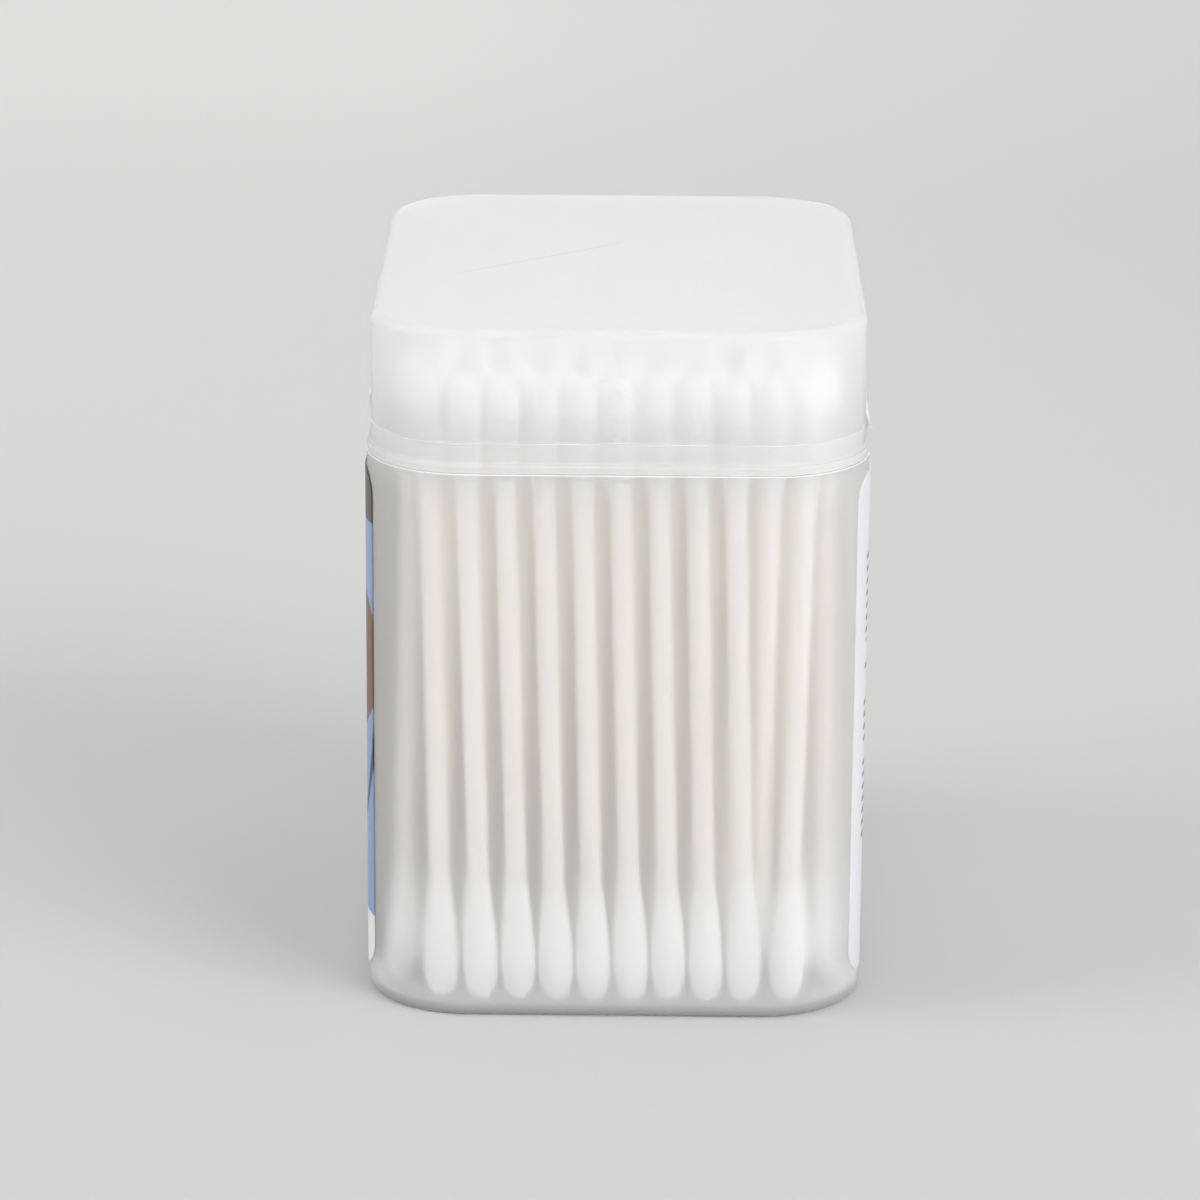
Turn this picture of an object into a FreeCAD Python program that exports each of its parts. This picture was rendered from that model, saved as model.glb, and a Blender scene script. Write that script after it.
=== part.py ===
import FreeCAD, Part

import math
import os
import random

import Sketcher

# A cotton swab tub: a frosted rounded-rectangle tub, a ring that snaps round its neck,
# a lid hinged to that ring, a label on each broad side, and the standing swabs.
# Origin at the middle of the underside, +Z up, the hinge on the -X side, millimetres.

Vector = FreeCAD.Vector
doc = FreeCAD.newDocument("CottonSwabTub")


# Driving dimensions

SIZES = {
    "tub_width": 56.8,
    "tub_depth": 73.0,
    "corner_radius": 11.7,
    "tub_wall": 1.0,
    "base_thickness": 0.7,
    "foot_radius": 0.9,
    "inner_foot_radius": 0.8,
    "neck_wall": 0.8,
    "neck_overlap": 2.3,
    "ring_height": 3.45,
    "ring_clearance": 0.1,
    "bead_proud": 0.45,
    "bead_height": 1.0,
    "lid_inset": 0.5,
    "lid_height": 12.75,
    "lid_wall": 0.8,
    "lid_top": 1.0,
    "lid_edge_radius": 1.1,
    "neck_clearance": 0.3,
    "hinge_width": 0.6,
    "hinge_thickness": 0.8,
    "hinge_length": 34.0,
    "lip_width": 0.9,
    "lip_rise": 1.5,
    "lip_drop": 1.3,
    "lip_length": 46.0,
    "lip_gap": 0.3,
    "label_thickness": 0.15,
    "label_gap": 0.05,
    "label_foot": 3.0,
    "label_drop": 1.8,
    "label_corner": 3.0,
    "front_label_span": 58.6,
    "back_label_span": 60.8,
    "swab_length": 73.8,
    "head_height": 10.2,
    "swab_seat": 0.05,
    "swab_lift": 0.3,
    "stick_radius": 1.25,
    "stick_cover": 1.5,
    "bud_radius": 2.1,
    "bud_length": 14.0,
    "bud_belly": 3.0,
    "bud_waist": 7.0,
    "bud_tip_radius": 0.8,
    "bud_spacing": 0.1,
    "bud_wall_gap": 0.15,
    "row_spacing": 0.32,
    "front_lean": 2.1,
    "end_lean": 1.9,
    "slip_width": 0.55,
    "corner_ease": 0.3,
    "row_lean": 1.0,
    "head_scatter_width": 0.4,
    "head_scatter_depth": 0.3,
    "foot_scatter_width": 0.3,
    "foot_scatter_depth": 0.5,
}

sheet = doc.addObject("Spreadsheet::Sheet", "Sizes")
for line, (alias, value) in enumerate(SIZES.items(), start=1):
    sheet.set(f"A{line}", alias)
    sheet.set(f"B{line}", str(value))
    sheet.setAlias(f"B{line}", alias)
doc.recompute()

# Levels and outlines that several pieces share, as formulas on the sheet. The tub is moulded to
# its swabs: they stand out of it by the head height, and the labels end just below its shoulder.

SHOULDER = "(Sizes.base_thickness + Sizes.swab_length - Sizes.head_height)"
SEAM = f"({SHOULDER} + Sizes.ring_height)"
LABEL_TOP = f"({SHOULDER} - Sizes.label_drop)"
NECK_INSET = "(Sizes.lid_inset + Sizes.lid_wall + Sizes.neck_clearance)"
MOUTH_INSET = f"({NECK_INSET} + Sizes.neck_wall)"
RING_BORE_INSET = f"({NECK_INSET} - Sizes.ring_clearance)"
LID_HALF = "(Sizes.tub_width / 2 - Sizes.lid_inset)"
WELL_HEIGHT = f"({SHOULDER} - Sizes.tub_wall - Sizes.base_thickness)"


def size(name):
    """One driving dimension, read back from the sheet."""
    return float(sheet.get(name))


# Sketch and feature helpers


def origin_feature(body, role):
    """One of the body's own origin planes or axes, by its role."""
    return next(item for item in body.Origin.OriginFeatures if item.Role == role)


def bind(item, formulas):
    """Ties properties of an object to formulas on the sheet."""
    for name, formula in formulas.items():
        item.setExpression(name, formula)
    return item


def new_body(name):
    body = doc.addObject("PartDesign::Body", name)
    body.Label = name
    return body


def new_sketch(body, name, plane, offset="0"):
    """An empty sketch on one of the body's origin planes, moved along the plane's normal."""
    sketch = body.newObject("Sketcher::SketchObject", name)
    sketch.AttachmentSupport = [(origin_feature(body, plane), "")]
    sketch.MapMode = "FlatFace"
    return bind(sketch, {".AttachmentOffset.Base.z": offset})


def name_dimension(sketch, constraint, name, formula):
    """Adds a named dimension to a sketch and ties it to a formula."""
    index = sketch.addConstraint(constraint)
    sketch.renameConstraint(index, name)
    sketch.setExpression(f"Constraints.{name}", formula)


def add_round_rectangle(sketch, name, width, depth, radius):
    """A centred rectangle with round corners: four lines, four tangent arcs, three dimensions."""
    half_x, half_y, bend = size("tub_width") / 2, size("tub_depth") / 2, size("corner_radius")
    flat_x, flat_y = half_x - bend, half_y - bend
    lines = [
        ((-flat_x, -half_y), (flat_x, -half_y)),
        ((half_x, -flat_y), (half_x, flat_y)),
        ((flat_x, half_y), (-flat_x, half_y)),
        ((-half_x, flat_y), (-half_x, -flat_y)),
    ]
    centres = [(flat_x, -flat_y), (flat_x, flat_y), (-flat_x, flat_y), (-flat_x, -flat_y)]
    first = sketch.GeometryCount
    for start, end in lines:
        sketch.addGeometry(Part.LineSegment(Vector(*start), Vector(*end)), False)
    for turn, centre in enumerate(centres):
        circle = Part.Circle(Vector(*centre), Vector(0, 0, 1), bend)
        begin = (turn - 1) * math.pi / 2
        sketch.addGeometry(Part.ArcOfCircle(circle, begin, begin + math.pi / 2), False)
    for side in range(4):
        arc = first + 4 + side
        following = first + (side + 1) % 4
        sketch.addConstraint(Sketcher.Constraint("Tangent", first + side, 2, arc, 1))
        sketch.addConstraint(Sketcher.Constraint("Tangent", arc, 2, following, 1))
    for side, way in enumerate(["Horizontal", "Vertical", "Horizontal", "Vertical"]):
        sketch.addConstraint(Sketcher.Constraint(way, first + side))
    for arc in range(first + 5, first + 8):
        sketch.addConstraint(Sketcher.Constraint("Equal", first + 4, arc))
    sketch.addConstraint(Sketcher.Constraint("Symmetric", first, 1, first + 2, 1, -1, 1))
    across = Sketcher.Constraint("DistanceX", first + 3, 1, first + 1, 1, 2 * half_x)
    along = Sketcher.Constraint("DistanceY", first, 1, first + 2, 1, 2 * half_y)
    name_dimension(sketch, across, f"{name}_width", width)
    name_dimension(sketch, along, f"{name}_depth", depth)
    name_dimension(sketch, Sketcher.Constraint("Radius", first + 4, bend), f"{name}_radius", radius)


def add_polygon(sketch, name, corners):
    """A closed polygon whose corners each have a formula for both coordinates."""
    first = sketch.GeometryCount
    count = len(corners)
    middle, reach = size("tub_width"), size("corner_radius")
    spread = [Vector(middle + reach * math.cos(2 * math.pi * turn / count),
                     middle + reach * math.sin(2 * math.pi * turn / count), 0)
              for turn in range(count)]
    for turn in range(count):
        sketch.addGeometry(Part.LineSegment(spread[turn], spread[(turn + 1) % count]), False)
    for turn in range(count):
        joint = (first + turn, 2, first + (turn + 1) % count, 1)
        sketch.addConstraint(Sketcher.Constraint("Coincident", *joint))
    for turn, (across, along) in enumerate(corners):
        corner = first + turn
        across_it = Sketcher.Constraint("DistanceX", -1, 1, corner, 1, spread[turn].x)
        along_it = Sketcher.Constraint("DistanceY", -1, 1, corner, 1, spread[turn].y)
        name_dimension(sketch, across_it, f"{name}_across_{turn}", across)
        name_dimension(sketch, along_it, f"{name}_along_{turn}", along)


def inset_rectangle(body, name, level, inset):
    """A level sketch of the tub's outline, moved in by an inset, or out where it is negative."""
    sketch = new_sketch(body, name, "XY_Plane", level)
    add_round_rectangle(
        sketch,
        "outline",
        f"Sizes.tub_width - 2 * ({inset})",
        f"Sizes.tub_depth - 2 * ({inset})",
        f"Sizes.corner_radius - ({inset})",
    )
    return sketch


def pad(body, name, sketch, length, both_ways=False):
    feature = body.newObject("PartDesign::Pad", name)
    feature.Profile = sketch
    feature.Midplane = both_ways
    return bind(feature, {"Length": length})


def pocket(body, name, sketch, length, upward=False, both_ways=False):
    feature = body.newObject("PartDesign::Pocket", name)
    feature.Profile = sketch
    feature.Reversed = upward
    feature.Midplane = both_ways
    return bind(feature, {"Length": length})


def level_edges(feature, height):
    """The names of a feature's edges that lie wholly at one height."""
    doc.recompute()
    names = []
    for index, edge in enumerate(feature.Shape.Edges, start=1):
        box = edge.BoundBox
        if abs(box.ZMin - height) < 1e-4 and abs(box.ZMax - height) < 1e-4:
            names.append(f"Edge{index}")
    return names


def fillet(body, name, feature, height, radius):
    """Rounds the edges of a feature that lie at one height."""
    rounded = body.newObject("PartDesign::Fillet", name)
    rounded.Base = (feature, level_edges(feature, height))
    return bind(rounded, {"Radius": radius})


# The tub, one thin moulding with a shoulder and a neck


def make_tub():
    body = new_body("tub")
    shell = pad(body, "shell", inset_rectangle(body, "outer_outline", "0", "0"), SHOULDER)
    fillet(body, "foot", shell, 0.0, "Sizes.foot_radius")
    doc.recompute()
    pad(body, "neck", inset_rectangle(body, "neck_outline", SHOULDER, NECK_INSET),
        "Sizes.ring_height + Sizes.neck_overlap")
    pocket(body, "well",
           inset_rectangle(body, "well_outline", "Sizes.base_thickness", "Sizes.tub_wall"),
           WELL_HEIGHT, upward=True)
    pocket(body, "mouth",
           inset_rectangle(body, "mouth_outline", f"{SEAM} + Sizes.neck_overlap", MOUTH_INSET),
           "Sizes.ring_height + Sizes.neck_overlap + 2 * Sizes.tub_wall")
    doc.recompute()
    fillet(body, "inner_foot", body.Tip, size("base_thickness"), "Sizes.inner_foot_radius")
    return body


# The ring that snaps round the neck, with a bead and the lower half of the hinge


def hinge_outline(sketch, low, high):
    """The hinge half's section in the XZ plane, from inside the wall out to the pivot line."""
    root = f"-({LID_HALF} - Sizes.lid_wall / 2)"
    pivot = f"-({LID_HALF} + Sizes.hinge_width)"
    add_polygon(sketch, "hinge", [(root, low), (root, high), (pivot, high), (pivot, low)])


def make_hinge_ring():
    body = new_body("hinge_ring")
    pad(body, "band",
        inset_rectangle(body, "band_outline", SHOULDER, "Sizes.lid_inset"),
        "Sizes.ring_height")
    pad(body, "bead",
        inset_rectangle(body, "bead_outline", SHOULDER, "Sizes.lid_inset - Sizes.bead_proud"),
        "Sizes.bead_height")
    hinge = new_sketch(body, "hinge_section", "XZ_Plane")
    hinge_outline(hinge, f"{SEAM} - Sizes.hinge_thickness", SEAM)
    pad(body, "hinge_half", hinge, "Sizes.hinge_length", both_ways=True)
    pocket(body, "bore", inset_rectangle(body, "bore_outline", SEAM, RING_BORE_INSET),
           "Sizes.ring_height")
    return body


# The lid, with a finger lip and the upper half of the hinge


def make_lid():
    body = new_body("lid")
    cap = pad(body, "cap", inset_rectangle(body, "cap_outline", SEAM, "Sizes.lid_inset"),
              "Sizes.lid_height")
    doc.recompute()
    fillet(body, "top_edge", cap, cap.Shape.BoundBox.ZMax, "Sizes.lid_edge_radius")
    doc.recompute()
    hinge = new_sketch(body, "hinge_section", "XZ_Plane")
    hinge_outline(hinge, SEAM, f"{SEAM} + Sizes.hinge_thickness")
    pad(body, "hinge_half", hinge, "Sizes.hinge_length", both_ways=True)
    lip = new_sketch(body, "lip_section", "XZ_Plane")
    inner = f"{LID_HALF} - Sizes.lid_wall / 2"
    add_polygon(lip, "lip", [
        (inner, SEAM),
        (f"{LID_HALF} + Sizes.lip_gap", SEAM),
        (f"{LID_HALF} + Sizes.lip_gap", f"{SEAM} - Sizes.lip_drop"),
        (f"{LID_HALF} + Sizes.lip_width", f"{SEAM} - Sizes.lip_drop"),
        (LID_HALF, f"{SEAM} + Sizes.lip_rise"),
        (inner, f"{SEAM} + Sizes.lip_rise"),
    ])
    pad(body, "lip", lip, "Sizes.lip_length", both_ways=True)
    pocket(body, "hollow",
           inset_rectangle(body, "hollow_outline", SEAM, "Sizes.lid_inset + Sizes.lid_wall"),
           "Sizes.lid_height - Sizes.lid_top", upward=True)
    return body


# The labels, thin films on the broad sides that turn a little way round the corners


def make_label(name, span, side):
    """A label on the side of the given sign: a thin band, halved and cut to a round rectangle."""
    body = new_body(name)
    height = f"({LABEL_TOP} - Sizes.label_foot)"
    pad(body, "film",
        inset_rectangle(body, "film_outline", "Sizes.label_foot",
                        "-(Sizes.label_gap + Sizes.label_thickness)"), height)
    pocket(body, "inside",
           inset_rectangle(body, "inside_outline", "Sizes.label_foot", "-Sizes.label_gap"),
           height, upward=True)
    half = new_sketch(body, "other_side", "XY_Plane", "Sizes.label_foot")
    far = f"{-side} * Sizes.tub_width"
    add_polygon(half, "half", [("0", "-Sizes.tub_depth"), (far, "-Sizes.tub_depth"),
                               (far, "Sizes.tub_depth"), ("0", "Sizes.tub_depth")])
    pocket(body, "one_side", half, height, upward=True)
    frame = new_sketch(body, "edge_outline", "YZ_Plane")
    bind(frame, {".AttachmentOffset.Base.y": f"({LABEL_TOP} + Sizes.label_foot) / 2"})
    add_round_rectangle(frame, "outer", "2 * Sizes.tub_depth", f"2 * {height}",
                        "Sizes.label_corner")
    add_round_rectangle(frame, "edge", f"Sizes.{span}", height, "Sizes.label_corner")
    pocket(body, "trimmed", frame, "2 * Sizes.tub_width", both_ways=True)
    return body


# One stick and one bud, the patterns that every swab repeats. At its waist a bud has lost this
# share of its taper, and at its collar it is this much wider than the stick.

WAIST_SHARE = 0.2
COLLAR_SCALE = 1.06


def make_stick():
    body = new_body("stick_pattern")
    sketch = new_sketch(body, "section", "XY_Plane", "Sizes.stick_cover")
    sketch.addGeometry(Part.Circle(Vector(0, 0, 0), Vector(0, 0, 1), 1.0), False)
    sketch.addConstraint(Sketcher.Constraint("Coincident", 0, 3, -1, 1))
    name_dimension(sketch, Sketcher.Constraint("Radius", 0, 1.0), "radius", "Sizes.stick_radius")
    pad(body, "stick", sketch, "Sizes.swab_length - 2 * Sizes.stick_cover")
    return body


def make_bud():
    """A drop of cotton wound on a stick's end: the profile of its half section is turned about Z."""
    body = new_body("bud_pattern")
    sketch = new_sketch(body, "half_section", "XZ_Plane")
    shoulder = "(Sizes.bud_tip_radius + 2 * Sizes.bud_radius) / 3"
    waist = f"Sizes.bud_radius - (Sizes.bud_radius - Sizes.stick_radius) * {WAIST_SHARE}"
    add_polygon(sketch, "half", [
        ("0", "0"),
        ("Sizes.bud_tip_radius", "0"),
        (shoulder, "Sizes.bud_belly / 4"),
        ("Sizes.bud_radius", "Sizes.bud_belly"),
        (waist, "Sizes.bud_waist"),
        (f"Sizes.stick_radius * {COLLAR_SCALE}", "Sizes.bud_length"),
        ("Sizes.stick_radius", "Sizes.bud_length"),
        ("Sizes.stick_radius", "Sizes.stick_cover"),
        ("0", "Sizes.stick_cover"),
    ])
    turned = body.newObject("PartDesign::Revolution", "drop")
    turned.Profile = sketch
    turned.ReferenceAxis = (origin_feature(body, "Z_Axis"), [""])
    turned.Angle = 360
    return body


# Where the swabs stand: rows that are pushed apart until no two buds touch. One swab of the front
# row has slipped back by this share of the spacing. The swabs are written out in as many groups
# as this pack has rows; a pack of another size spreads its rows evenly over the same groups.

SEED = 7
SETTLING_ROUNDS = 260
SLIP_SHARE = 0.9
GROUPS = 15


class Hollow:
    """The round rectangle that bud centres may fill, at one height in the tub."""

    def __init__(self, wall_inset):
        inset = wall_inset + size("bud_radius") + size("bud_wall_gap")
        self.half_x = size("tub_width") / 2 - inset
        self.half_y = size("tub_depth") / 2 - inset
        self.bend = size("corner_radius") - inset

    def front(self, along):
        """The point on the front wall's line a distance from its middle, bent round the corners."""
        flat = self.half_x - self.bend
        if abs(along) <= flat:
            return [along, -self.half_y]
        turn = (abs(along) - flat) / self.bend
        across = math.copysign(flat + self.bend * math.sin(turn), along)
        return [across, -self.half_y + self.bend * (1 - math.cos(turn))]

    def inside(self, spot):
        """The spot itself, or the nearest one that lies within the hollow."""
        x = max(-self.half_x, min(self.half_x, spot[0]))
        y = max(-self.half_y, min(self.half_y, spot[1]))
        over_x = abs(x) - (self.half_x - self.bend)
        over_y = abs(y) - (self.half_y - self.bend)
        reach = math.hypot(over_x, over_y)
        if over_x > 0 and over_y > 0 and reach > self.bend:
            x -= math.copysign(over_x * (1 - self.bend / reach), x)
            y -= math.copysign(over_y * (1 - self.bend / reach), y)
        return [x, y]


def settle(spots, pinned, hollow, spacing):
    """Pushes neighbours apart, keeps them in the hollow and leaves the pinned ones where they are."""
    near = [(one, two) for one in range(len(spots)) for two in range(one)
            if math.dist(spots[one], spots[two]) < 2 * spacing]
    for _ in range(SETTLING_ROUNDS):
        for one, two in near:
            gap_x = spots[two][0] - spots[one][0]
            gap_y = spots[two][1] - spots[one][1]
            gap = math.hypot(gap_x, gap_y)
            if gap >= spacing:
                continue
            share = (spacing - gap) / (2 * gap)
            for item, way in ((one, -share), (two, share)):
                if item not in pinned:
                    spots[item][0] += way * gap_x
                    spots[item][1] += way * gap_y
        spots = [spot if item in pinned else hollow.inside(spot) for item, spot in enumerate(spots)]
    return spots


def plan_swabs():
    """Groups of (foot, head) points: the front row leans, and the other rows settle behind it."""
    draw = random.Random(SEED)

    def scatter(name):
        return draw.uniform(-size(name), size(name))

    spacing = 2 * size("bud_radius") + size("bud_spacing")
    row_pitch = spacing + size("row_spacing") - size("bud_spacing")
    mouth_inset = sum(size(name) for name in
                      ("lid_inset", "lid_wall", "neck_clearance", "neck_wall"))
    mouth = Hollow(mouth_inset)
    well = Hollow(size("tub_wall"))
    columns = int(2 * mouth.half_x / spacing) + 1
    rows = int(2 * mouth.half_y / row_pitch) + 1
    front_places = (columns - 2) // 2
    heads, feet, depth_share = [], [], []
    for place in range(-front_places, front_places + 1):
        lean = -size("end_lean") if place == front_places else size("front_lean")
        along = place * spacing
        if abs(place) == front_places:
            along += math.copysign(size("corner_ease"), place)
        heads.append(mouth.front(along))
        feet.append(well.front(along + lean))
        if place == front_places - 1:
            feet[-1] = [along - size("slip_width"), feet[-1][1] + spacing * SLIP_SHARE]
        depth_share.append((place + front_places) / (2 * front_places + 1) / rows)
    pinned = set(range(len(heads)))
    for row in range(1, rows):
        in_row = columns if row < rows - 1 else columns - 1
        row_lean = scatter("row_lean")
        for column in range(in_row):
            x = (column - (in_row - 1) / 2) * 2 * mouth.half_x / (columns - 1)
            y = -mouth.half_y + row * 2 * mouth.half_y / (rows - 1)
            head = [x + scatter("head_scatter_width"), y + scatter("head_scatter_depth")]
            stretch = (well.half_x / mouth.half_x, well.half_y / mouth.half_y)
            heads.append(mouth.inside(head))
            foot = [head[0] * stretch[0] + row_lean + scatter("foot_scatter_width"),
                    head[1] * stretch[1] + scatter("foot_scatter_depth")]
            feet.append(well.inside(foot))
            depth_share.append((row + column / in_row) / rows)
    heads = settle(heads, pinned, mouth, spacing)
    feet = settle(feet, pinned, well, spacing)
    plan = [[] for _ in range(GROUPS)]
    for share, foot, head in zip(depth_share, feet, heads):
        lift = size("base_thickness") + size("swab_seat") + draw.uniform(0, size("swab_lift"))
        rise = math.sqrt(size("swab_length") ** 2 - math.dist(foot, head) ** 2)
        group_of = round(share * GROUPS * len(heads)) // len(heads)
        plan[group_of].append((Vector(*foot, lift), Vector(*head, lift + rise)))
    return plan


def link(pattern, name, start, direction):
    """A linked copy of a pattern, its Z axis turned to a direction, at a starting point."""
    copy = doc.addObject("App::Link", name)
    copy.LinkedObject = pattern
    copy.LinkTransform = True
    turn = FreeCAD.Rotation(Vector(0, 0, 1), direction)
    copy.Placement = FreeCAD.Placement(start, turn)
    return copy


def group(name, copies):
    compound = doc.addObject("Part::Compound", name)
    compound.Label = name
    compound.Links = copies
    return compound


def make_swab_rows(stick, bud):
    """For each group, one node of its sticks and one of the buds at both their ends."""
    groups = []
    for row, swabs in enumerate(plan_swabs(), start=1):
        sticks, buds = [], []
        for place, (foot, head) in enumerate(swabs, start=1):
            name = f"{row:02d}_{place:02d}"
            way = head - foot
            sticks.append(link(stick, f"stick_{name}", foot, way))
            buds.append(link(bud, f"lower_bud_{name}", foot, way))
            buds.append(link(bud, f"upper_bud_{name}", head, -way))
        groups.append(group(f"swab_sticks_row_{row:02d}", sticks))
        groups.append(group(f"swab_buds_row_{row:02d}", buds))
    return groups


pieces = [
    make_tub(),
    make_hinge_ring(),
    make_lid(),
    make_label("label_front", "front_label_span", -1),
    make_label("label_back", "back_label_span", 1),
]
pieces += make_swab_rows(make_stick(), make_bud())
doc.recompute()

# Every object is checked, and then each piece is written to its own file

for item in doc.Objects:
    if "Invalid" in item.State or "Error" in item.State:
        raise RuntimeError(f"{item.Label} failed: {item.State}")
for piece in pieces:
    if piece.Shape.isNull() or not piece.Shape.isValid():
        raise RuntimeError(f"{piece.Label} has no valid shape")

os.makedirs("parts", exist_ok=True)
for piece in pieces:
    piece.Shape.exportStep(f"parts/{piece.Label}.step")
    solids = len(piece.Shape.Solids)
    print(f"{piece.Label}: {solids} solid(s), {piece.Shape.Volume:.1f} mm3")
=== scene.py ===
# %% [markdown]
# # A tub of cotton swabs
#
# The object is a closed pack of cotton swabs: a frosted polypropylene tub with a flip lid, so
# thin and milky that the paper sticks and cotton buds inside show through it, sharp where they
# lean on the wall and blurred further in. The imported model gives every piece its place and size.
# This lesson dresses it: the shells are rebuilt as smooth moulded surfaces, the swabs as turned
# ones, and each gets a material that starts from what the real thing is made of.

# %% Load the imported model
import math

import bpy
import numpy as np
from mathutils import Matrix, Vector


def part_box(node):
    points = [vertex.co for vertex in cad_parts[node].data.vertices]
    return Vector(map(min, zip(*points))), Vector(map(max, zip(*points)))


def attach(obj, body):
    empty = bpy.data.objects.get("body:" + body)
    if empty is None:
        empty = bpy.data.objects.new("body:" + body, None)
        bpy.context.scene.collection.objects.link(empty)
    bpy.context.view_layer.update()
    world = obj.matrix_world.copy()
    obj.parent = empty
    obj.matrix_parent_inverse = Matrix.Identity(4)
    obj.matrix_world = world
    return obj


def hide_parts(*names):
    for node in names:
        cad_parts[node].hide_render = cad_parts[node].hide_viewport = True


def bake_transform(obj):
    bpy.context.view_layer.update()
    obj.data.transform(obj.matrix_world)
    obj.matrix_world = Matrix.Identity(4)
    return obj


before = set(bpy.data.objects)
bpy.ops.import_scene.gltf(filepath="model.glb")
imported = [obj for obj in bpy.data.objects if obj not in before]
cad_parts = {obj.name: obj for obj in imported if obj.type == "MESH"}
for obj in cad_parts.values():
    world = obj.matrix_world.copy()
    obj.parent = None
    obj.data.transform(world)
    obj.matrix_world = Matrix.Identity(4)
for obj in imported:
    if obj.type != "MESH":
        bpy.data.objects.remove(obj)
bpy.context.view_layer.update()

# %% [markdown]
# ## Units and colours
#
# Blender works in metres and the real object is a few centimetres, so sizes are written in
# millimetres and multiplied once. Colours are written as the sRGB hex values that a designer
# would pick, and one function turns them to the linear values that shaders use.

# %% Millimetres and sRGB colours
MM = 0.001


def linear(code):
    """sRGB hex to linear RGBA: up to 0.04045 a division, above it a power of 2.4."""
    steps = np.array([int(code[i:i + 2], 16) for i in (1, 3, 5)]) / 255
    flat = np.where(steps <= 0.04045, steps / 12.92, ((steps + 0.055) / 1.055) ** 2.4)
    return (*flat.tolist(), 1.0)


print("mid grey #808080 is", round(linear("#808080")[0], 3), "in linear light")

# %% [markdown]
# ## The camera
#
# The camera stands about 61 cm in front of the narrow side and looks down by 17 degrees, through
# a long lens, as a product photographer would stand to keep the sides nearly upright. It is set
# first, because everything after it is judged through it. Its axes are worked out from the view
# direction: back points from the target to the camera, and right and up are turned by the roll.

# %% Camera at the photograph's viewing angle
VIEW_DISTANCE = 610.0
VIEW_ELEVATION = math.radians(16.8)
VIEW_AZIMUTH = math.radians(0.43)
VIEW_ROLL = math.radians(0.41)
VIEW_TARGET = Vector((-2.1, 0.0, 38.9))
LENS_MM = 153.6


def set_camera():
    """The view direction is back = (sin a cos e, -cos a cos e, sin e); right and up are square to
    it and turned by the roll."""
    a, e, r = VIEW_AZIMUTH, VIEW_ELEVATION, VIEW_ROLL
    back = Vector((math.sin(a) * math.cos(e), -math.cos(a) * math.cos(e), math.sin(e)))
    level = Vector((0, 0, 1)).cross(back).normalized()
    upright = back.cross(level)
    right = math.cos(r) * level + math.sin(r) * upright
    up = math.cos(r) * upright - math.sin(r) * level
    camera = bpy.data.objects.new("photo_camera", bpy.data.cameras.new("photo_camera"))
    camera.data.lens = LENS_MM
    camera.data.sensor_width = 36.0
    camera.data.clip_end = 20.0
    place = (VIEW_TARGET + VIEW_DISTANCE * back) * MM
    turn = Matrix((right, up, back)).transposed().to_4x4()
    camera.matrix_world = Matrix.Translation(place) @ turn
    bpy.context.scene.collection.objects.link(camera)
    bpy.context.scene.camera = camera
    return camera


camera = set_camera()
print("camera at", [round(c, 3) for c in camera.matrix_world.translation])

# %% [markdown]
# ## One way to build a mesh
#
# Every new piece here is a grid of points worked out with numpy, with faces between neighbouring
# rows and columns. A grid can close on itself around, and its two open ends can be closed with a
# flat face. Modelling by hand or with booleans would also work, but a grid keeps each shape as
# one readable formula, and its faces are even enough to shade smoothly.

# %% Grid meshes
def grid_quads(rows, columns, first=0):
    """Quads between neighbouring rows of a grid that closes around in its columns."""
    row, column = np.meshgrid(np.arange(rows - 1), np.arange(columns), indexing="ij")
    beside = (column + 1) % columns
    quads = np.stack([row * columns + column, row * columns + beside,
                      (row + 1) * columns + beside, (row + 1) * columns + column], axis=-1)
    return quads.reshape(-1, 4) + first


def ring_cap(columns, first, flip):
    """One flat face over a ring of points, turned over where it closes the grid's start."""
    ring = np.arange(columns) + first
    return (ring[::-1] if flip else ring).tolist()


def new_piece(name, points, faces, body, replaced=()):
    """A finished piece: its mesh in metres with its object at the origin, riding on a body."""
    mesh = bpy.data.meshes.new(name)
    mesh.from_pydata(points.tolist(), [], faces)
    mesh.polygons.foreach_set("use_smooth", np.ones(len(mesh.polygons), bool))
    mesh.validate()
    mesh.update()
    piece = bpy.data.objects.new(name, mesh)
    bpy.context.scene.collection.objects.link(piece)
    if body:
        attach(piece, body)
    if replaced:
        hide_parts(*replaced)
    print(f"{name}: {len(mesh.polygons)} faces")
    return piece


# %% [markdown]
# ## The moulded shells
#
# Tub, ring and lid are injection mouldings about a millimetre thick, all with the same
# rounded-rectangle plan at different insets. So each is one closed section, a list of (inset,
# height) points with a radius at each corner, carried around that plan. Real mouldings have no
# sharp edges: even a rim has a radius of a few tenths, which is what catches the light as the
# thin bright lines along the lid's seam and the ring's bead.

# %% Sizes that the shells share, from the frame and the moulds
tub_high = np.array(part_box("tub")[1]) / MM
lid_high = np.array(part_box("lid")[1]) / MM
ring_low, ring_high = (np.array(corner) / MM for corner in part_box("hinge_ring"))
HALF_WIDTH = tub_high[0]
HALF_DEPTH = tub_high[1]
CORNER = 11.7
SHOULDER = ring_low[2]
SEAM = ring_high[2]
LID_TOP = lid_high[2]
NECK_TOP = tub_high[2]
TUB_WALL = 1.0
BASE = 0.7
LID_INSET = 0.5
LID_WALL = 0.8
LID_ROOF = 1.0
NECK_INSET = 1.6
NECK_WALL = 0.8
RING_BORE = 1.5
BEAD_PROUD = 0.45
BEAD_HEIGHT = 1.0
SEAT = 0.03
print("shoulder, seam and lid top in mm:", [round(v, 2) for v in (SHOULDER, SEAM, LID_TOP)])

# %% A section with round corners, carried around the plan
ARC_STEPS = 6
EDGE_EASE = 0.12
PLAN_ARC = 18
ETCHED, GLOWING, POLISHED = 0, 1, 2


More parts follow.
